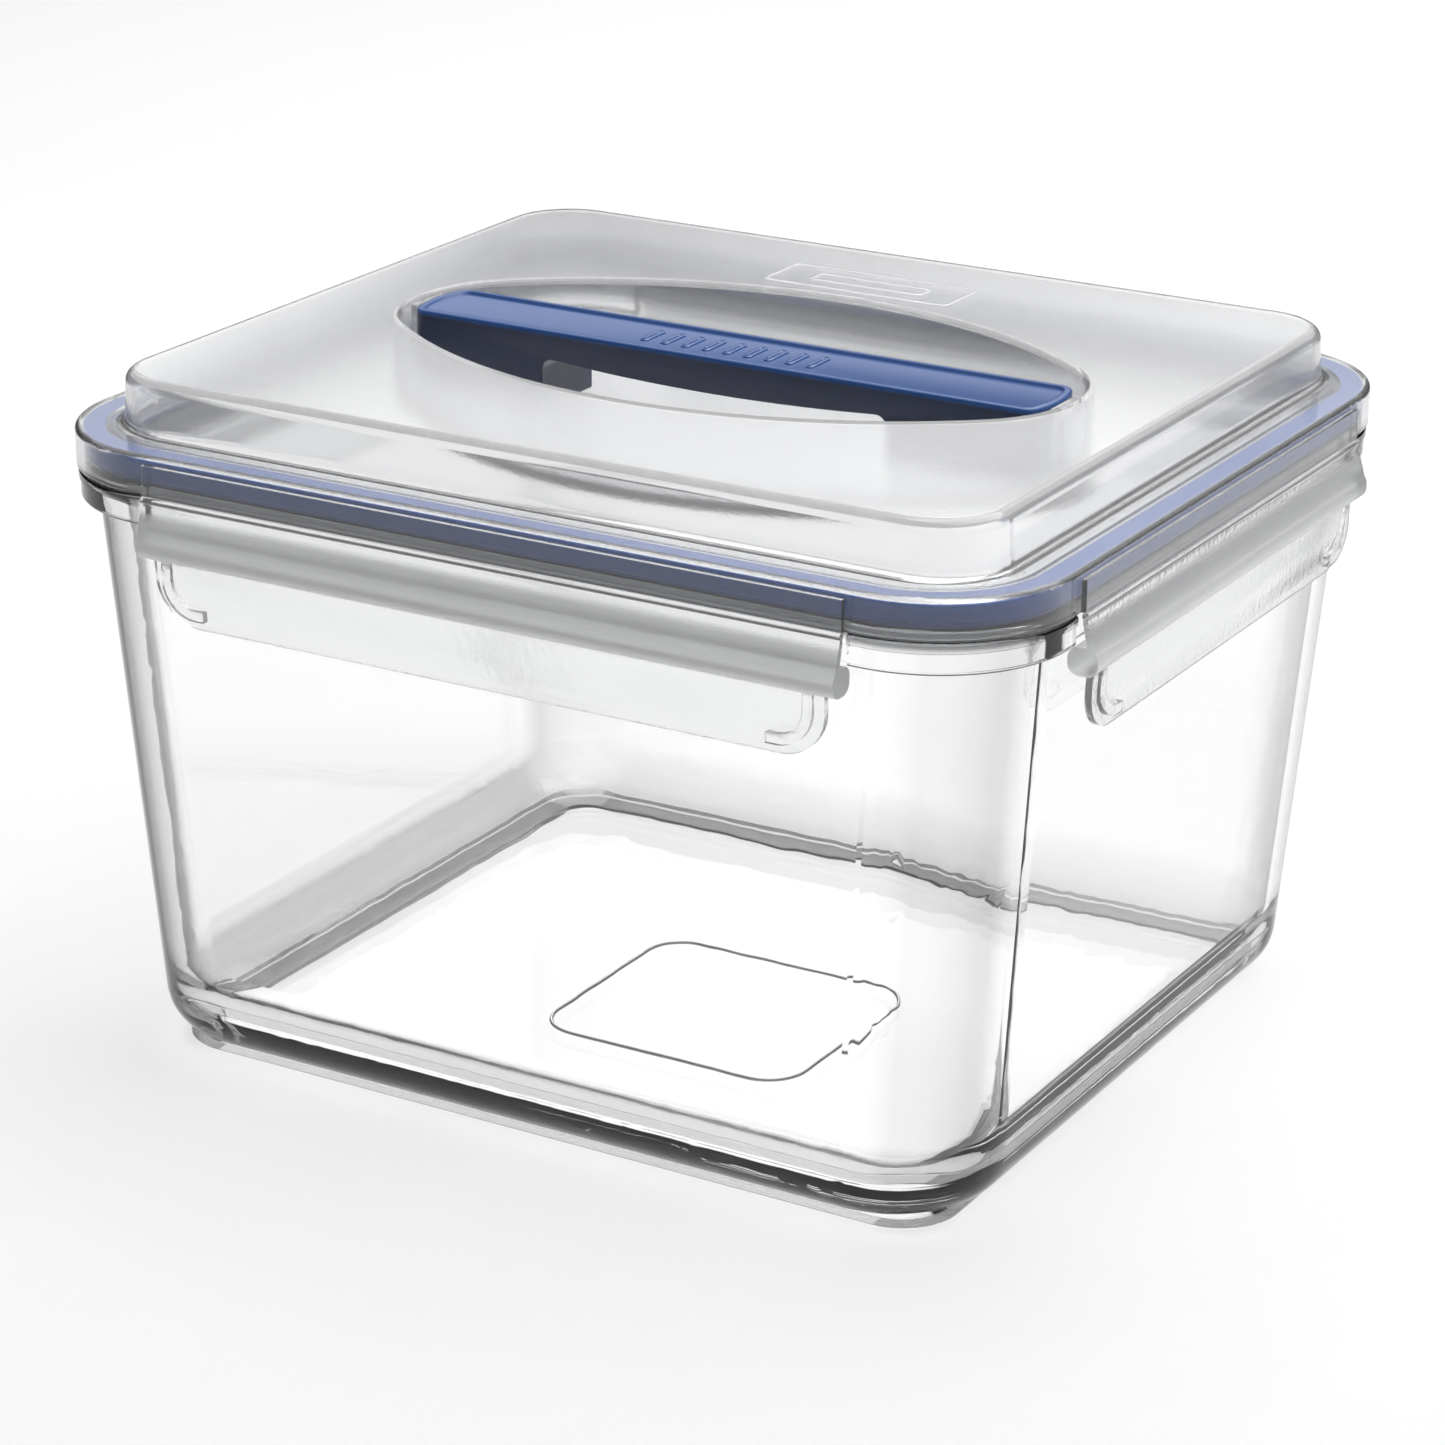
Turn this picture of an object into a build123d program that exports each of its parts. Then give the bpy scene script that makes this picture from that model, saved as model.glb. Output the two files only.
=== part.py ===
"""Glass storage container with a clip-on lid, as separate pieces that fit each other.

Millimetres, +Z up. The origin is on the surface that the container stands on, under
the middle of the bowl. +X runs along the longer sides, and the front latch faces -Y.
"""
from build123d import *

import os
from math import sqrt

# ---- Bowl: a pressed glass box with drafted walls and a thick rim
bowl_length = 198.0          # outside, along X, where the walls would meet the ground
bowl_width = 177.6           # outside, along Y, at the same height
bowl_height = 130.5          # to the top of the glass rim
bowl_flare_x = 9.5           # each wall leans out this far, from the ground to the neck
bowl_flare_y = 4.9
bowl_corner_r = 25.0         # upright outside corners
bowl_wall = 4.7
bowl_floor = 6.0
bowl_base_r = 10.5           # outside edge between base and walls
bowl_inner_r = 15.0          # inside fillet between floor and walls
foot_inset = 6.2             # from where the walls would meet the ground to the foot
foot_height = 1.8            # from the ground up to the rounded base
foot_corner_r = 13.0
foot_edge_r = 0.7
foot_ring_width = 7.0
foot_hollow = 1.2            # depth of the hollow inside the foot ring
foot_hollow_taper = 30.0     # degrees

# ---- Glass rim
rim_height = 4.0             # of the band all round
rim_overhang = 4.1           # from the wall's outside to the band's outside
rim_step_height = 2.0        # the narrower top of the band, which goes up inside the skirt
rim_step_in = 1.8
rim_edge_r = 0.8
neck_depth = 8.5             # from the top of the glass down to where the wall begins
ledge_drop = 4.5             # the ledge under the band reaches this far below it
ledge_in = 0.4               # and stands this far inside it

# ---- Lid
skirt_gap = 0.5              # from the skirt's bottom down to the widest glass
skirt_proud = 0.3            # the skirt stands this far outside the glass band
skirt_height = 8.3
skirt_wall = 1.6
lid_plate = 1.4              # the flat rim of the lid
lid_edge_r = 1.2
plateau_rise = 11.3
plateau_margin_x = 11.2      # from the skirt's outside to the raised panel's wall
plateau_margin_y = 11.0
plateau_corner_r = 16.0
plateau_draft = 3.0          # degrees
plateau_edge_r = 2.6
plateau_foot_r = 2.2
lid_wall = 1.8
plug_clearance = 1.0         # between the lid's inner rib and the glass
plug_wall = 1.4
plug_depth = 4.0             # the rib reaches this far below the glass rim's top

# ---- Recess in the lid for the handle: a lens of two long arcs with round ends
recess_length = 157.0
recess_width = 92.0
recess_end_r = 27.5
recess_depth = 18.5
recess_lip_r = 1.1
recess_floor_r = 1.0

# ---- Gasket
gasket_clearance = 0.2       # to the skirt, the rib and the lid above
gasket_glass_gap = 0.3       # to the glass, which the real one is pressed on
gasket_width = 4.4
gasket_lip_width = 1.8
gasket_lip_height = 0.9
gasket_edge_r = 0.8
keeper_wall = 1.2            # rib in the lid, on the inner side of the gasket
keeper_depth = 2.8

# ---- Handle
handle_gap = 2.5             # round the handle's ends, to the recess wall
handle_width = 20.4
handle_sink = 0.3            # below the raised panel, so lids can stack
handle_rest_gap = 0.5        # from the legs to the recess floor
handle_leg = 34.5            # length of each leg along X
grip_thickness = 6.2         # at the grip's ends
grip_bow = 1.7               # how much thicker the grip is in the middle
grip_corner_r = 2.4
panel_border = 1.7
panel_sink = 0.7
panel_corner_r = 2.2
handle_edge_r = 0.7
handle_corner_r = 3.5
handle_travel = 11.0
lug_height = 2.5
lug_width = 7.0
slide_clearance = 0.4
guide_rib = 1.6
guide_top_gap = 0.9          # from the raised panel down to the guide's top

# ---- Latches
latch_corner_gap = 3.2       # from each end of a latch to the round of the corner
hinge_pad_proud = 1.1        # the skirt is thicker above each latch
hinge_pad_top_gap = 1.8      # from the pad's top up to the lid's flat rim
hinge_out = 1.0              # axis, outside the skirt
hinge_drop = 0.7             # axis, below the skirt
hinge_r = 0.75
hinge_clearance = 0.1
hinge_end_clearance = 0.3
latch_neck = 1.0
latch_panel = 1.8
bead_height = 5.8
bead_corner_r = 2.4
bead_top_drop = 6.2          # from the hinge axis to the top of the bead
bead_out = 2.9               # outer side of the bead, from the hinge axis
hook_reach = 3.5             # inner side of the bead, from the hinge axis
hook_clearance = 0.3         # to the glass, so the closed latches can lift with the lid
tab_drop = 25.5              # from the hinge axis to the tab's lower edge
tab_thickness = 1.5
tab_lean = 1.0
tab_inset = 3.0
tab_corner_r = 10.0
tab_rib_width = 2.2
tab_rib_height = 0.7
tab_rib_inset = 2.2

# ---- Worked out from the values above
neck_z = bowl_height - neck_depth
neck_length = bowl_length + 2 * bowl_flare_x
neck_width = bowl_width + 2 * bowl_flare_y
band_length = neck_length + 2 * rim_overhang
band_width = neck_width + 2 * rim_overhang
band_r = bowl_corner_r + rim_overhang
band_bottom_z = bowl_height - rim_height
step_z = bowl_height - rim_step_height

skirt_length = band_length + 2 * skirt_proud
skirt_width = band_width + 2 * skirt_proud
skirt_r = band_r + skirt_proud
skirt_z = step_z + skirt_gap
lid_rim_z = skirt_z + skirt_height
lid_under_z = lid_rim_z - lid_plate
plateau_z = lid_rim_z + plateau_rise
plateau_length = skirt_length - 2 * plateau_margin_x
plateau_width = skirt_width - 2 * plateau_margin_y
recess_z = plateau_z - recess_depth
latch_front_length = skirt_length - 2 * (skirt_r + latch_corner_gap)
latch_side_length = skirt_width - 2 * (skirt_r + latch_corner_gap)
hook_face = hinge_out - hook_reach   # the hook's inner side, measured from the skirt
guide_top_z = plateau_z - guide_top_gap
bridge_z = recess_z + handle_rest_gap + lug_height + handle_travel + slide_clearance

selector_gap = 0.01          # how close to a height counts as being there

SIDES = {
    "front_latch": (Vector(0, -1, 0), skirt_width / 2, latch_front_length),
    "back_latch": (Vector(0, 1, 0), skirt_width / 2, latch_front_length),
    "left_latch": (Vector(-1, 0, 0), skirt_length / 2, latch_side_length),
    "right_latch": (Vector(1, 0, 0), skirt_length / 2, latch_side_length),
}


def outside_size(z):
    """Length and width of the bowl's outside at height z, below the rim."""
    share = z / neck_z
    return bowl_length + 2 * bowl_flare_x * share, bowl_width + 2 * bowl_flare_y * share


def lens(grow=0.0):
    """Recess outline, grown outwards by grow: two long arcs and two round ends."""
    half_length = recess_length / 2 + grow
    half_width = recess_width / 2 + grow
    end_r = recess_end_r + grow
    end_centre = half_length - end_r
    side_r = (end_centre**2 + half_width**2 - end_r**2) / (2 * (half_width - end_r))
    side_centre = side_r - half_width
    reach = side_r / sqrt(end_centre**2 + side_centre**2)
    join_x = end_centre * reach
    join_y = side_centre * (reach - 1)
    with BuildSketch() as outline:
        with BuildLine():
            ThreePointArc((-join_x, join_y), (0, half_width), (join_x, join_y))
            ThreePointArc((join_x, join_y), (half_length, 0), (join_x, -join_y))
            ThreePointArc((join_x, -join_y), (0, -half_width), (-join_x, -join_y))
            ThreePointArc((-join_x, -join_y), (-half_length, 0), (-join_x, join_y))
        make_face()
    return outline.sketch


def edges_at(piece, z):
    """Edges of the piece that lie at height z."""
    return piece.edges().filter_by_position(Axis.Z, z - selector_gap, z + selector_gap)


def band_edges(bowl, z, depth):
    """Edges of the bowl at height z, no further than depth inside the band's outside."""
    return edges_at(bowl, z).filter_by(
        lambda e: max(
            abs(e.center().X) - band_length / 2, abs(e.center().Y) - band_width / 2
        ) > -depth
    )


def hinge_plane(outward, face):
    """Plane across a latch: origin on its hinge axis, x outwards and y upwards."""
    origin = outward * (face + hinge_out) + Vector(0, 0, skirt_z - hinge_drop)
    return Plane(origin=origin, x_dir=outward, z_dir=outward.cross(Vector(0, 0, 1)))


# ---- Glass bowl
with BuildPart() as cavity:
    floor_size = outside_size(bowl_floor)
    with BuildSketch(Plane.XY.offset(bowl_floor)):
        RectangleRounded(
            floor_size[0] - 2 * bowl_wall, floor_size[1] - 2 * bowl_wall, bowl_corner_r - bowl_wall
        )
    with BuildSketch(Plane.XY.offset(bowl_height)):
        RectangleRounded(
            neck_length - 2 * bowl_wall, neck_width - 2 * bowl_wall, bowl_corner_r - bowl_wall
        )
    loft(ruled=True)
    fillet(cavity.edges().group_by(Axis.Z)[0], bowl_inner_r)

with BuildPart() as glass_bowl:
    base_size = outside_size(foot_height)
    with BuildSketch(Plane.XY.offset(foot_height)):
        RectangleRounded(*base_size, bowl_corner_r)
    with BuildSketch(Plane.XY.offset(neck_z)):
        RectangleRounded(neck_length, neck_width, bowl_corner_r)
    loft(ruled=True)
    fillet(glass_bowl.edges().group_by(Axis.Z)[0], bowl_base_r)
    with BuildSketch(Plane.XY.offset(neck_z)):
        RectangleRounded(neck_length, neck_width, bowl_corner_r)
    extrude(amount=neck_depth)
    # Foot that stands below the rounded base, with a shallow hollow that leaves a ring
    with BuildSketch():
        RectangleRounded(
            bowl_length - 2 * foot_inset, bowl_width - 2 * foot_inset, foot_corner_r
        )
    extrude(amount=foot_height + bowl_base_r / 2)
    fillet(glass_bowl.edges().group_by(Axis.Z)[0], foot_edge_r)
    hollow_inset = foot_inset + foot_ring_width
    with BuildSketch():
        RectangleRounded(
            bowl_length - 2 * hollow_inset, bowl_width - 2 * hollow_inset,
            foot_corner_r - foot_ring_width,
        )
    extrude(amount=foot_hollow, taper=foot_hollow_taper, mode=Mode.SUBTRACT)
    # Band round the rim, with a narrower top
    with BuildSketch(Plane.XY.offset(band_bottom_z)):
        RectangleRounded(band_length, band_width, band_r)
    extrude(amount=step_z - band_bottom_z)
    with BuildSketch(Plane.XY.offset(step_z)):
        RectangleRounded(
            band_length - 2 * rim_step_in, band_width - 2 * rim_step_in, band_r - rim_step_in
        )
    extrude(amount=rim_step_height)
    # Ledge under the band
    with BuildSketch(Plane.XY.offset(band_bottom_z - ledge_drop)):
        RectangleRounded(
            band_length - 2 * ledge_in, band_width - 2 * ledge_in, band_r - ledge_in
        )
    extrude(amount=ledge_drop)
    fillet(band_edges(glass_bowl, step_z, band_r / 2), rim_edge_r)
    fillet(band_edges(glass_bowl, band_bottom_z - ledge_drop, 2 * ledge_in), rim_edge_r)
    add(cavity.part, mode=Mode.SUBTRACT)
    fillet(glass_bowl.faces().sort_by(Axis.Z)[-1].edges(), rim_edge_r)
    # Way for each closed latch, behind its hook
    for outward, face, length in SIDES.values():
        across = Plane(
            origin=outward * (face + hook_face - hook_clearance) + Vector(0, 0, neck_z - ledge_drop),
            x_dir=outward,
            z_dir=Vector(0, 0, 1),
        )
        with BuildSketch(across):
            Rectangle(
                -hook_face + hook_clearance,
                length + 2 * hinge_end_clearance,
                align=(Align.MIN, Align.CENTER),
            )
        extrude(amount=neck_depth + ledge_drop, mode=Mode.SUBTRACT)
glass_bowl.part.label = "glass_bowl"


# ---- Lid: one moulding
with BuildPart() as lid:
    with BuildSketch(Plane.XY.offset(skirt_z)):
        RectangleRounded(skirt_length, skirt_width, skirt_r)
    extrude(amount=skirt_height)
    # Thicker skirt above each latch, with a groove for the hinge
    for outward, face, length in SIDES.values():
        pad = Plane(
            origin=outward * face + Vector(0, 0, skirt_z), x_dir=outward, z_dir=Vector(0, 0, 1)
        )
        with BuildSketch(pad):
            Rectangle(2 * hinge_pad_proud, length)
        extrude(amount=skirt_height - hinge_pad_top_gap)
        with BuildSketch(hinge_plane(outward, face)):
            Circle(hinge_r + hinge_clearance)
        extrude(amount=length / 2 + hinge_end_clearance, both=True, mode=Mode.SUBTRACT)
    fillet(lid.faces().sort_by(Axis.Z)[-1].edges(), lid_edge_r)
    with BuildSketch(Plane.XY.offset(skirt_z)):
        RectangleRounded(
            skirt_length - 2 * skirt_wall, skirt_width - 2 * skirt_wall, skirt_r - skirt_wall
        )
    extrude(amount=lid_under_z - skirt_z, mode=Mode.SUBTRACT)
    # Raised panel
    with BuildSketch(Plane.XY.offset(lid_under_z)):
        RectangleRounded(plateau_length, plateau_width, plateau_corner_r)
    extrude(amount=plateau_z - lid_under_z, taper=plateau_draft)
    fillet(lid.faces().sort_by(Axis.Z)[-1].edges(), plateau_edge_r)
    foot_edges = edges_at(lid, lid_rim_z).filter_by(
        lambda e: abs(e.center().X) < plateau_length / 2 and abs(e.center().Y) < plateau_width / 2
    )
    fillet(foot_edges, plateau_foot_r)
    with BuildSketch(Plane.XY.offset(lid_under_z)):
        RectangleRounded(
            plateau_length - 2 * lid_wall, plateau_width - 2 * lid_wall, plateau_corner_r - lid_wall
        )
    extrude(amount=plateau_z - lid_wall - lid_under_z, taper=plateau_draft, mode=Mode.SUBTRACT)
    # Rib that drops inside the glass
    plug_length = neck_length - 2 * (bowl_wall + plug_clearance)
    plug_width = neck_width - 2 * (bowl_wall + plug_clearance)
    plug_r = bowl_corner_r - bowl_wall - plug_clearance
    with BuildSketch(Plane.XY.offset(bowl_height - plug_depth)):
        RectangleRounded(plug_length, plug_width, plug_r)
        RectangleRounded(
            plug_length - 2 * plug_wall, plug_width - 2 * plug_wall, plug_r - plug_wall,
            mode=Mode.SUBTRACT,
        )
    extrude(amount=lid_under_z - bowl_height + plug_depth)
    # Rib that keeps the gasket against the skirt
    keeper_inset = skirt_wall + 2 * gasket_clearance + gasket_width
    with BuildSketch(Plane.XY.offset(lid_under_z - keeper_depth)):
        RectangleRounded(
            skirt_length - 2 * keeper_inset, skirt_width - 2 * keeper_inset, skirt_r - keeper_inset
        )
        keeper_inset += keeper_wall
        RectangleRounded(
            skirt_length - 2 * keeper_inset, skirt_width - 2 * keeper_inset, skirt_r - keeper_inset,
            mode=Mode.SUBTRACT,
        )
    extrude(amount=keeper_depth)
    # Recess for the handle
    with BuildSketch(Plane.XY.offset(recess_z - lid_wall)):
        add(lens(lid_wall))
    extrude(amount=recess_depth)
    with BuildSketch(Plane.XY.offset(recess_z)):
        add(lens())
    extrude(amount=recess_depth, mode=Mode.SUBTRACT)
    lip_edges = edges_at(lid, plateau_z).filter_by(
        lambda e: abs(e.center().X) < recess_length / 2 + 1 and abs(e.center().Y) < recess_width / 2 + 1
    )
    fillet(lip_edges, recess_lip_r)
    recess_floor = lid.faces().filter_by_position(
        Axis.Z, recess_z - selector_gap, recess_z + selector_gap
    )
    fillet(recess_floor.edges(), recess_floor_r)
    # Guides at both ends of the recess, closed at the top by a bridge
    guide_depth = handle_gap - slide_clearance
    guide_mid = (lug_width + guide_rib) / 2 + slide_clearance
    for end in (-1, 1):
        guide_x = end * (recess_length / 2 + (lid_wall / 2 - guide_depth) / 2)
        with BuildSketch(Plane.XY.offset(recess_z)):
            with Locations((guide_x, -guide_mid), (guide_x, guide_mid)):
                Rectangle(guide_depth + lid_wall / 2, guide_rib)
        extrude(amount=guide_top_z - recess_z)
        with BuildSketch(Plane.XY.offset(bridge_z)):
            with Locations((guide_x, 0)):
                Rectangle(guide_depth + lid_wall / 2, 2 * guide_mid)
        extrude(amount=guide_top_z - bridge_z)
lid.part.label = "lid"


# ---- Gasket: a soft ring in the channel behind the skirt, with a lip towards the glass
gasket_z = bowl_height + gasket_glass_gap
gasket_inset = skirt_wall + gasket_clearance
with BuildPart() as gasket:
    with BuildSketch(Plane.XY.offset(gasket_z + gasket_lip_height)):
        RectangleRounded(
            skirt_length - 2 * gasket_inset, skirt_width - 2 * gasket_inset, skirt_r - gasket_inset
        )
        inner_inset = gasket_inset + gasket_width
        RectangleRounded(
            skirt_length - 2 * inner_inset, skirt_width - 2 * inner_inset, skirt_r - inner_inset,
            mode=Mode.SUBTRACT,
        )
    extrude(amount=lid_under_z - gasket_clearance - gasket_z - gasket_lip_height)
    fillet(gasket.edges().group_by(Axis.Z)[0], gasket_edge_r)
    lip_inset = gasket_inset + (gasket_width - gasket_lip_width) / 2
    with BuildSketch(Plane.XY.offset(gasket_z)):
        RectangleRounded(
            skirt_length - 2 * lip_inset, skirt_width - 2 * lip_inset, skirt_r - lip_inset
        )
        lip_inset += gasket_lip_width
        RectangleRounded(
            skirt_length - 2 * lip_inset, skirt_width - 2 * lip_inset, skirt_r - lip_inset,
            mode=Mode.SUBTRACT,
        )
    extrude(amount=2 * gasket_lip_height)
gasket.part.label = "gasket"


# ---- Handle: a bar on two legs that slide up in the lid's guides
handle_z = recess_z + handle_rest_gap
handle_top_z = plateau_z - handle_sink
handle_end = recess_length / 2 - handle_gap
grip_z = handle_top_z - grip_thickness
grip_end = handle_end - handle_leg
with BuildPart() as handle:
    with BuildSketch(Plane.XZ):
        with BuildLine():
            Polyline(
                (-grip_end, grip_z), (-grip_end, handle_z), (-handle_end, handle_z),
                (-handle_end, handle_top_z), (handle_end, handle_top_z), (handle_end, handle_z),
                (grip_end, handle_z), (grip_end, grip_z),
            )
            ThreePointArc((grip_end, grip_z), (0, grip_z - grip_bow), (-grip_end, grip_z))
        make_face()
    extrude(amount=handle_width / 2, both=True)
    fillet(edges_at(handle, grip_z).filter_by(Axis.Y), grip_corner_r)
    with BuildSketch(Plane.XY.offset(handle_z)):
        add(lens(-handle_gap))
    extrude(amount=handle_top_z - handle_z, mode=Mode.INTERSECT)
    outer_corners = handle.edges().filter_by(Axis.Z).filter_by(lambda e: abs(e.center().X) > grip_end + 1)
    fillet(outer_corners, handle_corner_r)
    fillet(handle.faces().sort_by(Axis.Z)[-1].edges(), handle_edge_r)
    # Sunk panel along the top
    with BuildSketch(Plane.XY.offset(handle_top_z - panel_sink)):
        add(lens(-handle_gap - panel_border))
        Rectangle(recess_length, handle_width - 2 * panel_border, mode=Mode.INTERSECT)
        fillet(vertices(), panel_corner_r)
    extrude(amount=panel_sink, mode=Mode.SUBTRACT)
    # Lugs that stop under the bridges
    with BuildSketch(Plane.XY.offset(handle_z)):
        Rectangle(recess_length - 2 * slide_clearance, lug_width)
        Rectangle(2 * (handle_end - handle_gap), lug_width, mode=Mode.SUBTRACT)
    extrude(amount=lug_height)
handle.part.label = "handle"


# ---- Latches: a flap with an inward bead and a finger tab, turning about its upper edge
def make_latch(name, outward, face, length):
    """One latch as a part, closed, in its place beside the bowl."""
    across = hinge_plane(outward, face)
    bead_middle = -bead_top_drop - bead_height / 2
    bead_low = -bead_top_drop - bead_height
    tab_length = length - 2 * tab_inset
    with BuildPart() as latch:
        # Finger tab, leaning in towards its lower edge
        with BuildSketch(across):
            with BuildLine():
                Polyline(
                    (tab_thickness / 2, bead_middle), (tab_thickness / 2, bead_low),
                    (tab_thickness / 2 - tab_lean, -tab_drop),
                    (-tab_thickness / 2 - tab_lean, -tab_drop),
                    (-tab_thickness / 2, bead_low), (-tab_thickness / 2, bead_middle),
                    close=True,
                )
            make_face()
        extrude(amount=tab_length / 2, both=True)
        corners = latch.edges().filter_by(lambda e: abs(e.tangent_at(0).dot(outward)) > 0.99)
        fillet(corners.group_by(Axis.Z)[0], tab_corner_r)
        # Flap, thin at the hinge and thicker towards the bead
        with BuildSketch(across):
            Circle(hinge_r)
        extrude(amount=length / 2, both=True)
        with BuildSketch(across):
            with BuildLine():
                Polyline(
                    (latch_neck / 2, 0), (latch_neck / 2, -hinge_r), (bead_out, bead_middle),
                    (bead_out - latch_panel, bead_middle), (-latch_neck / 2, -2 * hinge_r),
                    (-latch_neck / 2, 0), close=True,
                )
            make_face()
            # Bead: a bar with a round nose that hooks inwards
            with Locations(((bead_out - hook_reach) / 2, bead_middle)):
                RectangleRounded(bead_out + hook_reach, bead_height, bead_corner_r)
        extrude(amount=length / 2, both=True)
        # Raised rib round both lower corners of the tab
        rib_plane = Plane(
            origin=across.origin - outward * (tab_thickness / 2),
            x_dir=-across.z_dir, z_dir=outward,
        )
        rib_length = tab_length - 2 * tab_rib_inset
        rib_end = tab_length / 2 - tab_corner_r - tab_rib_width
        with BuildSketch(rib_plane):
            with Locations((0, -tab_drop + tab_rib_inset)):
                RectangleRounded(
                    rib_length, 2 * tab_drop, tab_corner_r - tab_rib_inset,
                    align=(Align.CENTER, Align.MIN),
                )
            with Locations((0, -tab_drop + tab_rib_inset + tab_rib_width)):
                RectangleRounded(
                    rib_length - 2 * tab_rib_width, 2 * tab_drop,
                    tab_corner_r - tab_rib_inset - tab_rib_width,
                    align=(Align.CENTER, Align.MIN), mode=Mode.SUBTRACT,
                )
            Rectangle(2 * rib_end, 2 * tab_drop, mode=Mode.SUBTRACT)
            with Locations((0, bead_middle)):
                Rectangle(length, tab_drop, align=(Align.CENTER, Align.MAX), mode=Mode.INTERSECT)
        extrude(amount=tab_thickness + tab_rib_height)
    latch.part.label = name
    return latch.part


latches = [make_latch(name, *side) for name, side in SIDES.items()]

os.makedirs("parts", exist_ok=True)
for piece in (glass_bowl.part, lid.part, gasket.part, handle.part, *latches):
    export_step(piece, f"parts/{piece.label}.step")
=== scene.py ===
"""Looks of the glass storage container, built around its CAD frame."""
import math

import bmesh
import bpy
from mathutils import Matrix, Vector


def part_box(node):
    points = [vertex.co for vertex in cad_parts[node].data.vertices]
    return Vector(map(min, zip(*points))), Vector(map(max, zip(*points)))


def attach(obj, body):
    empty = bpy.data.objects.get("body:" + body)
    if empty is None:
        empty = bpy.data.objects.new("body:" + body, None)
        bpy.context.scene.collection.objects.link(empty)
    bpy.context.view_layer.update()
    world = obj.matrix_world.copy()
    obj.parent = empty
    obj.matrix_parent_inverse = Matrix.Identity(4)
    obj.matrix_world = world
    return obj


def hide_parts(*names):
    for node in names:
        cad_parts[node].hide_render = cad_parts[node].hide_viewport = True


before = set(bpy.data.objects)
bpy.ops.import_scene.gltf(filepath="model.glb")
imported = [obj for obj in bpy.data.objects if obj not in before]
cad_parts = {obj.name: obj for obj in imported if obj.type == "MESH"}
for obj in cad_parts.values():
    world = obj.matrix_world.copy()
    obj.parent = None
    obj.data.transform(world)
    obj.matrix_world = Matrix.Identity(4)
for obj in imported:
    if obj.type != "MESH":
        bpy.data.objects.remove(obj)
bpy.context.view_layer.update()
MM = 0.001

# ---- Heights, worked out from the frame
lid_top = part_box("lid")[1].z
skirt_top = lid_top - 11 * MM
glass_rim_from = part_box("glass_bowl")[1].z - 3.6 * MM
bowl_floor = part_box("glass_bowl")[0].z + 6.0 * MM
gasket_top_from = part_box("gasket")[1].z - 1 * MM
handle_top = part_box("handle")[1].z
handle_panel = handle_top - 0.7 * MM
latch_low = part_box("front_latch")[0].z
bead_bottom = latch_low + 13.5 * MM
flap_frost_top = latch_low + 22.8 * MM

# ---- Colours, as linear RGBA
GLASS_CLEAR = (0.99, 0.992, 0.992, 1)
# Glass rim tint: painted dark reflection
GLASS_RIM_PAINTED_DARK = (0.1, 0.105, 0.11, 1)
BLACK = (0.0, 0.0, 0.0, 1)
MILKY = (0.965, 0.968, 0.975, 1)
# Lid colour at glancing angles: painted dark reflection
MILKY_EDGE_PAINTED_DARK = (0.87, 0.88, 0.9, 1)
LATCH_CLEAR = (0.94, 0.945, 0.95, 1)
# Frosted flap: its rough finish is real, its grey tone is painted shade
LATCH_FROST_AND_SHADE = (0.74, 0.745, 0.75, 1)
# Latch colour at glancing angles: painted dark reflection
LATCH_EDGE_PAINTED_DARK = (0.5, 0.51, 0.52, 1)
# The lighter top colours of the gasket and handle are painted light on their tops
GASKET_LOW = (0.002, 0.042, 0.22, 1)
GASKET_LIT_TOP = (0.003, 0.06, 0.28, 1)
HANDLE_LOW = (0.001, 0.012, 0.06, 1)
HANDLE_LIT_TOP = (0.006, 0.075, 0.3, 1)
FLOOR_WHITE = (0.9, 0.9, 0.9, 1)


# ---- Node helpers
def new_material(name):
    material = bpy.data.materials.new(name)
    material.use_nodes = True
    tree = material.node_tree
    return material, tree, tree.nodes["Principled BSDF"]


def add_node(tree, kind, inputs=None, **settings):
    node = tree.nodes.new(kind)
    for key, value in settings.items():
        setattr(node, key, value)
    for key, value in (inputs or {}).items():
        node.inputs[key].default_value = value
    return node


def plug(tree, value, socket):
    """Links another node's output to the socket, or sets the socket to a plain value."""
    if isinstance(value, bpy.types.NodeSocket):
        tree.links.new(value, socket)
    else:
        socket.default_value = value


def calculate(tree, operation, first, second, **settings):
    """A Math node on two values, each a number or another node's output."""
    node = add_node(tree, "ShaderNodeMath", operation=operation, **settings)
    plug(tree, first, node.inputs[0])
    plug(tree, second, node.inputs[1])
    return node.outputs["Value"]


def mix(tree, kind, factor, low, high):
    """low where factor is 0 and high where it is 1, as numbers (FLOAT) or colours (RGBA)."""
    node = add_node(tree, "ShaderNodeMix", data_type=kind)
    plug(tree, factor, node.inputs["Factor"])
    plug(tree, low, node.inputs["A"])
    plug(tree, high, node.inputs["B"])
    return node.outputs["Result"]


def map_range(tree, value, start, end, low=0.0, high=1.0, **settings):
    """low up to start, high from end on, and evenly between them where value is between."""
    ends = {"From Min": start, "From Max": end, "To Min": low, "To Max": high}
    node = add_node(tree, "ShaderNodeMapRange", ends, **settings)
    tree.links.new(value, node.inputs["Value"])
    return node.outputs["Result"]


def noise(tree, scale, detail=3.0):
    """Noise in the object's own coordinates, scale in features per metre."""
    where = add_node(tree, "ShaderNodeTexCoord")
    texture = add_node(tree, "ShaderNodeTexNoise", {"Scale": scale, "Detail": detail})
    tree.links.new(where.outputs["Object"], texture.inputs["Vector"])
    return texture.outputs["Fac"]


def bump(tree, shader, height, strength, distance):
    node = add_node(tree, "ShaderNodeBump", {"Strength": strength, "Distance": distance})
    tree.links.new(height, node.inputs["Height"])
    tree.links.new(node.outputs["Normal"], shader.inputs["Normal"])


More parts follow.
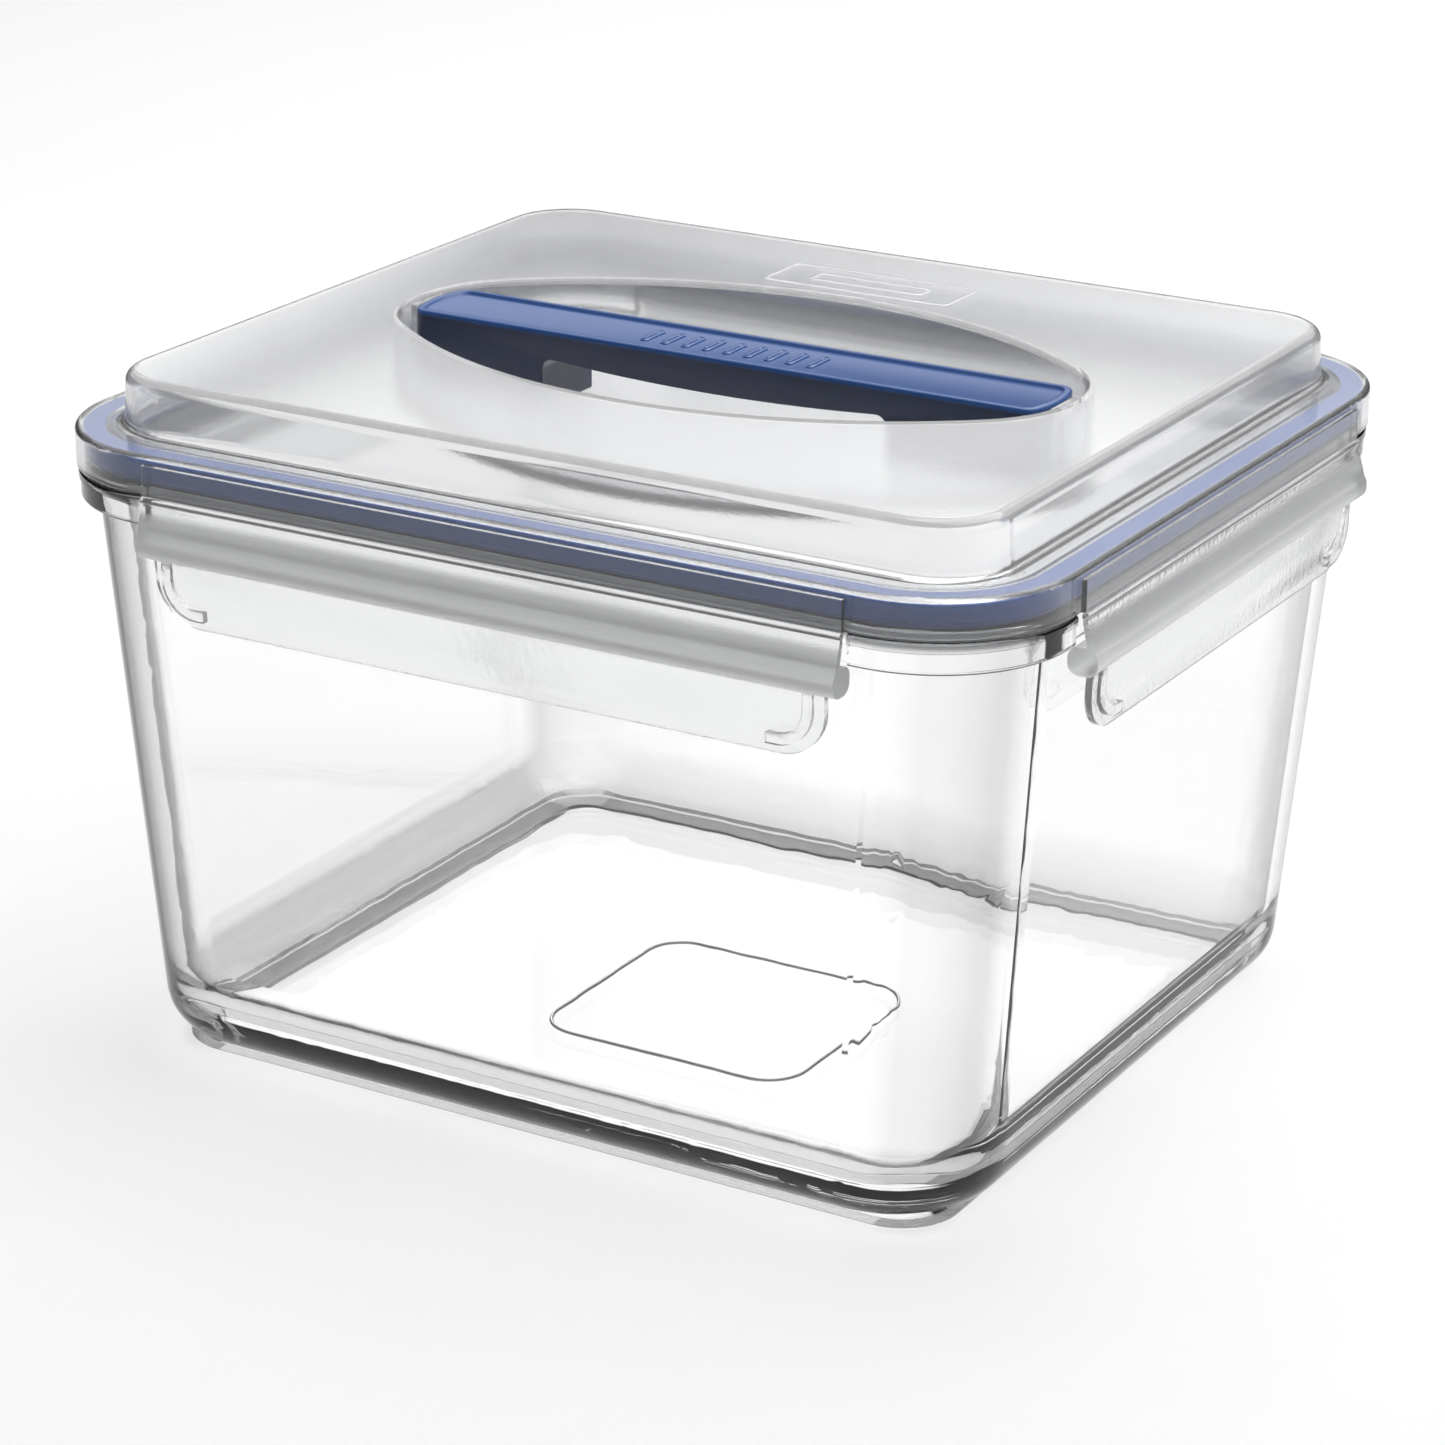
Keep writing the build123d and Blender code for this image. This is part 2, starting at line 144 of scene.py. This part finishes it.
def above(tree, height, blend=0.6 * MM):
    """0 below height and 1 above it, by the piece's own Z; a negative blend swaps them."""
    where = add_node(tree, "ShaderNodeTexCoord")
    split = add_node(tree, "ShaderNodeSeparateXYZ")
    tree.links.new(where.outputs["Object"], split.inputs["Vector"])
    return map_range(tree, split.outputs["Z"], height - blend, height + blend)


def turned_away(tree, power):
    """0 on a surface seen face on and 1 at a glancing angle, raised to power."""
    weight = add_node(tree, "ShaderNodeLayerWeight", {"Blend": 0.5})
    return calculate(tree, "POWER", weight.outputs["Facing"], power)


def round_edges(tree):
    """1 on the rounds of edges and corners, and 0 on what faces along X, Y or Z."""
    where = add_node(tree, "ShaderNodeTexCoord")
    size = add_node(tree, "ShaderNodeVectorMath", operation="ABSOLUTE")
    split = add_node(tree, "ShaderNodeSeparateXYZ")
    tree.links.new(where.outputs["Normal"], size.inputs[0])
    tree.links.new(size.outputs["Vector"], split.inputs["Vector"])
    side = calculate(tree, "MAXIMUM", split.outputs["X"], split.outputs["Y"])
    most = calculate(tree, "MAXIMUM", side, split.outputs["Z"])
    return map_range(tree, most, 1.0, 0.9)


# ---- Materials
def glass_material():
    """Clear glass. The dark tints in the rim, on round edges and at glancing angles are painted
    dark reflections.
    """
    material, tree, shader = new_material("pressed_glass")
    # Painted dark reflections: black on round edges and at glancing angles
    on_edges = calculate(tree, "MULTIPLY", turned_away(tree, 0.75), round_edges(tree))
    dark = calculate(tree, "ADD", on_edges, turned_away(tree, 5.0), use_clamp=True)
    body = mix(tree, "RGBA", above(tree, glass_rim_from), GLASS_CLEAR, GLASS_RIM_PAINTED_DARK)
    plug(tree, mix(tree, "RGBA", dark, body, BLACK), shader.inputs["Base Color"])
    shader.inputs["Roughness"].default_value = 0.0
    shader.inputs["IOR"].default_value = 1.5
    shader.inputs["Transmission Weight"].default_value = 1.0
    bump(tree, shader, noise(tree, 45, 2), 0.12, 0.6 * MM)
    return material


def lid_material():
    """Milky clear plastic, clearer in the thin skirt, greyer at glancing angles as a painted dark
    reflection.
    """
    material, tree, shader = new_material("milky_plastic")
    # Painted dark reflection: greyer where the lid turns away
    colour = mix(tree, "RGBA", turned_away(tree, 3), MILKY, MILKY_EDGE_PAINTED_DARK)
    plug(tree, colour, shader.inputs["Base Color"])
    shader.inputs["IOR"].default_value = 1.49
    milky = above(tree, skirt_top, 1.2 * MM)
    plug(tree, map_range(tree, milky, 0, 1, 0.98, 0.87), shader.inputs["Transmission Weight"])
    grain = noise(tree, 1200)
    plug(tree, map_range(tree, grain, 0, 1, 0.07, 0.13), shader.inputs["Roughness"])
    bump(tree, shader, grain, 0.1, 0.1 * MM)
    return material


def latch_material():
    """Clear tab and hinge, with a frosted flap and bead between them; the flap's grey tone is
    painted shade, and the grey at glancing angles is a painted dark reflection.
    """
    material, tree, shader = new_material("frosted_plastic")
    frosted = calculate(
        tree, "MULTIPLY", above(tree, bead_bottom), above(tree, flap_frost_top, -0.8 * MM)
    )
    # Painted shade: the frosted flap is tinted grey
    body = mix(tree, "RGBA", frosted, LATCH_CLEAR, LATCH_FROST_AND_SHADE)
    # Painted dark reflection: greyer where the latch turns away
    colour = mix(tree, "RGBA", turned_away(tree, 3), body, LATCH_EDGE_PAINTED_DARK)
    plug(tree, colour, shader.inputs["Base Color"])
    shader.inputs["IOR"].default_value = 1.49
    plug(tree, map_range(tree, frosted, 0, 1, 0.1, 0.5), shader.inputs["Roughness"])
    plug(tree, map_range(tree, frosted, 0, 1, 0.93, 0.8), shader.inputs["Transmission Weight"])
    bump(tree, shader, noise(tree, 700, 4), 0.25, 0.3 * MM)
    return material


def solid_material(name, colour, lit_top_colour, top_from, rough, coat):
    """Opaque plastic or rubber, painted lighter above top_from to stand in for light on its top."""
    material, tree, shader = new_material(name)
    # Painted light: lighter colour above top_from
    painted_top_light = mix(tree, "RGBA", above(tree, top_from, 0.3 * MM), colour, lit_top_colour)
    plug(tree, painted_top_light, shader.inputs["Base Color"])
    grain = noise(tree, 1400)
    plug(tree, map_range(tree, grain, 0, 1, rough - 0.06, rough + 0.06), shader.inputs["Roughness"])
    bump(tree, shader, grain, 0.15, 0.2 * MM)
    shader.inputs["Coat Weight"].default_value = coat
    shader.inputs["Coat Roughness"].default_value = 0.25
    return material


glass = glass_material()
lid_plastic = lid_material()
latch_plastic = latch_material()
gasket_blue = solid_material("blue_silicone", GASKET_LOW, GASKET_LIT_TOP, gasket_top_from, 0.4, 0.0)
handle_blue = solid_material(
    "blue_plastic", HANDLE_LOW, HANDLE_LIT_TOP, handle_top - 1 * MM, 0.36, 0.5
)


# ---- Pieces that round off a CAD node's edges
WELD_DISTANCE = 0.002 * MM
FLAT_ANGLE = math.radians(0.5)
BEVEL_ANGLE = math.radians(38)
SHARP_ANGLE = math.radians(60)


def smooth(mesh, sharp_angle):
    for face in mesh.polygons:
        face.use_smooth = True
    mesh.set_sharp_from_angle(angle=sharp_angle)


def add_object(name, data):
    item = bpy.data.objects.new(name, data)
    bpy.context.scene.collection.objects.link(item)
    return item


def rounded_copy(name, node, body, material, width):
    """A copy of a CAD node with bevelled edges, which stands for the node."""
    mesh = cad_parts[node].data.copy()
    mesh.name = name
    shape = bmesh.new()
    shape.from_mesh(mesh)
    bmesh.ops.remove_doubles(shape, verts=shape.verts, dist=WELD_DISTANCE)
    bmesh.ops.dissolve_limit(shape, angle_limit=FLAT_ANGLE, verts=shape.verts, edges=shape.edges)
    shape.to_mesh(mesh)
    shape.free()
    mesh.materials.clear()
    mesh.materials.append(material)
    smooth(mesh, SHARP_ANGLE)
    piece = add_object(name, mesh)
    bevel = piece.modifiers.new("edges", "BEVEL")
    bevel.width = width
    bevel.segments = 3
    bevel.limit_method = "ANGLE"
    bevel.angle_limit = BEVEL_ANGLE
    bevel.use_clamp_overlap = True
    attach(piece, body)
    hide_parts(node)
    return piece


rounded_copy("carry_handle", "handle", "handle", handle_blue, 0.5 * MM)
for side in ("front", "back", "left", "right"):
    latch = rounded_copy(
        side + "_flap", side + "_latch", side + "_latch", latch_plastic, 0.25 * MM
    )
    latch.visible_shadow = False

# The CAD nodes that stay get their materials; the clear ones cast no shadow
for name, look in {"glass_bowl": glass, "lid": lid_plastic, "gasket": gasket_blue}.items():
    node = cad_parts[name]
    for material_slot in node.material_slots:
        material_slot.material = look
    node.visible_shadow = name == "gasket"


# ---- Raised details
def rounded_loop(centre, half, radius, z, steps=8):
    """Points round a rounded rectangle at height z."""
    points = []
    for sx, sy, start in ((1, 1, 0), (-1, 1, 90), (-1, -1, 180), (1, -1, 270)):
        for k in range(steps + 1):
            a = math.radians(start + 90 * k / steps)
            points.append(Vector((
                centre[0] + sx * (half[0] - radius) + radius * math.cos(a),
                centre[1] + sy * (half[1] - radius) + radius * math.sin(a),
                z,
            )))
    return points


def raised_frame(name, centre, half, radius, z, width, height, body, material):
    """A low moulded line round a rounded rectangle, with soft shoulders and sunk foot."""
    shoulder = 0.4 * height
    profile = (
        (0, -height), (0, shoulder), (0.25, height), (0.75, height), (1, shoulder), (1, -height)
    )
    loops = []
    for share, up in profile:
        inset = share * width
        loops.append(rounded_loop(
            centre, (half[0] - inset, half[1] - inset), max(radius - inset, width), z + up
        ))
    count = len(loops[0])
    faces = []
    for ring in range(len(loops)):
        a = ring * count
        b = (ring + 1) % len(loops) * count
        faces += [(a + k, a + (k + 1) % count, b + (k + 1) % count, b + k) for k in range(count)]
    mesh = bpy.data.meshes.new(name)
    mesh.from_pydata([point for loop in loops for point in loop], [], faces)
    shape = bmesh.new()
    shape.from_mesh(mesh)
    bmesh.ops.recalc_face_normals(shape, faces=shape.faces)
    shape.to_mesh(mesh)
    shape.free()
    smooth(mesh, math.radians(50))
    mesh.materials.append(material)
    piece = add_object(name, mesh)
    piece.visible_shadow = False
    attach(piece, body)


lid_mark = (1 * MM, 58 * MM)
floor_mark = (9.5 * MM, -17 * MM)
mark_line = 0.8 * MM
raised_frame(
    "lid_mark_frame", lid_mark, (23 * MM, 8 * MM), 2 * MM, lid_top, mark_line, 0.25 * MM,
    "lid", lid_plastic,
)
raised_frame(
    "lid_mark_line", lid_mark, (14 * MM, 3 * MM), 1.5 * MM, lid_top, mark_line, 0.25 * MM,
    "lid", lid_plastic,
)
raised_frame(
    "floor_mark_frame", floor_mark, (31 * MM, 28 * MM), 9 * MM, bowl_floor, mark_line, 0.35 * MM,
    "bowl", glass,
)
# Grip ridges in the handle's sunk panel
for index, x in enumerate(range(-20, 21, 5)):
    raised_frame(
        "handle_ridge_" + str(index), (x * MM, 0), (1.1 * MM, 4.2 * MM), 1.0 * MM, handle_panel,
        1.0 * MM, 0.35 * MM, "handle", handle_blue,
    )


# ---- Floor
reach = 20.0
mesh = bpy.data.meshes.new("floor")
corners = [(-reach, -reach, 0), (reach, -reach, 0), (reach, reach, 0), (-reach, reach, 0)]
mesh.from_pydata(corners, [], [(0, 1, 2, 3)])
floor = add_object("floor", mesh)
paint, tree, shader = new_material("floor_paint")
shader.inputs["Base Color"].default_value = FLOOR_WHITE
shader.inputs["Roughness"].default_value = 0.9
mesh.materials.append(paint)


# ---- Light
TOWARDS_BRIGHT = (0.55, 0.83, 0.0)
BACKDROP = 0.7

world = bpy.data.worlds.new("studio")
world.use_nodes = True
bpy.context.scene.world = world
tree = world.node_tree
background = tree.nodes["Background"]
where = add_node(tree, "ShaderNodeTexCoord")
split = add_node(tree, "ShaderNodeSeparateXYZ")
depth = add_node(tree, "ShaderNodeVectorMath", operation="DOT_PRODUCT")
depth.inputs[1].default_value = TOWARDS_BRIGHT
tree.links.new(where.outputs["Generated"], split.inputs["Vector"])
tree.links.new(where.outputs["Generated"], depth.inputs[0])
# Brighter overhead and on the far side, dimmer low down and on the near side
by_height = map_range(tree, split.outputs["Z"], 0.05, 0.75, 0.1, 1.0)
by_side = map_range(tree, depth.outputs["Value"], -0.7, 0.7, 0.3, 1.2)
light_level = calculate(tree, "MULTIPLY", by_height, by_side)
# The backdrop beyond the floor is pale, though the light from there is low
rays = add_node(tree, "ShaderNodeLightPath")
level = mix(tree, "FLOAT", rays.outputs["Is Camera Ray"], light_level, BACKDROP)
plug(tree, level, background.inputs["Color"])
background.inputs["Strength"].default_value = 1.0


def area_light(name, place, target, size, power):
    light = bpy.data.lights.new(name, "AREA")
    light.shape = "RECTANGLE"
    light.size = size[0]
    light.size_y = size[1]
    light.energy = power
    item = add_object(name, light)
    item.location = place
    item.rotation_euler = (Vector(target) - Vector(place)).to_track_quat("-Z", "Y").to_euler()


area_light("overhead", (0.15, 0.6, 1.5), (0, 0, 0), (1.5, 1.5), 17.5)
area_light("back_low", (-0.75, 1.3, 0.95), (0, 0, 0.12), (1.6, 0.8), 2.4)


# ---- Dark surround
# The camera doesn't see it, but the clear pieces refract and reflect it, which draws their
# edges. It is white near the object and fades to dark further off.
def ring_mesh(name, rings, steps=64):
    """Open band through rings of (radius, z)."""
    points = []
    for radius, z in rings:
        for k in range(steps):
            a = 2 * math.pi * k / steps
            points.append((radius * math.cos(a), radius * math.sin(a), z))
    faces = []
    for ring in range(0, steps * (len(rings) - 1), steps):
        for k in range(steps):
            after = (k + 1) % steps
            faces.append((ring + k, ring + after, ring + steps + after, ring + steps + k))
    mesh = bpy.data.meshes.new(name)
    mesh.from_pydata(points, [], faces)
    return mesh


lift = 0.4 * MM
rings = [(0.17, lift), (0.5, lift), (0.9, lift), (1.4, lift), (1.4, 0.5)]
surround = add_object("dark_surround", ring_mesh("dark_surround", rings))
dark, tree, shader = new_material("dark_surround")
shader.inputs["Roughness"].default_value = 0.9
where = add_node(tree, "ShaderNodeTexCoord")
away = add_node(tree, "ShaderNodeVectorMath", operation="LENGTH")
tree.links.new(where.outputs["Object"], away.inputs[0])
fade = map_range(
    tree, away.outputs["Value"], 0.6, 0.85, 0.9, 0.02, interpolation_type="SMOOTHSTEP"
)
plug(tree, fade, shader.inputs["Base Color"])
surround.data.materials.append(dark)
surround.visible_camera = False
surround.visible_diffuse = False
surround.visible_shadow = False


# ---- Camera
CAMERA_PLACE = (0.43921, -0.76047, 0.39409)
CAMERA_RIGHT = Vector((0.86376, 0.50387, 0.00523))
CAMERA_UP = Vector((-0.18149, 0.30141, 0.93606))
LIGHT_BOUNCES = 24

camera_data = bpy.data.cameras.new("camera")
camera_data.lens = 107.99
camera_data.sensor_width = 36
camera = add_object("camera", camera_data)
turn = Matrix((CAMERA_RIGHT, CAMERA_UP, CAMERA_RIGHT.cross(CAMERA_UP))).transposed().to_4x4()
camera.matrix_world = Matrix.Translation(CAMERA_PLACE) @ turn
scene = bpy.context.scene
scene.camera = camera
scene.view_settings.view_transform = "Standard"
scene.cycles.max_bounces = LIGHT_BOUNCES
scene.cycles.transmission_bounces = LIGHT_BOUNCES
scene.cycles.transparent_max_bounces = LIGHT_BOUNCES
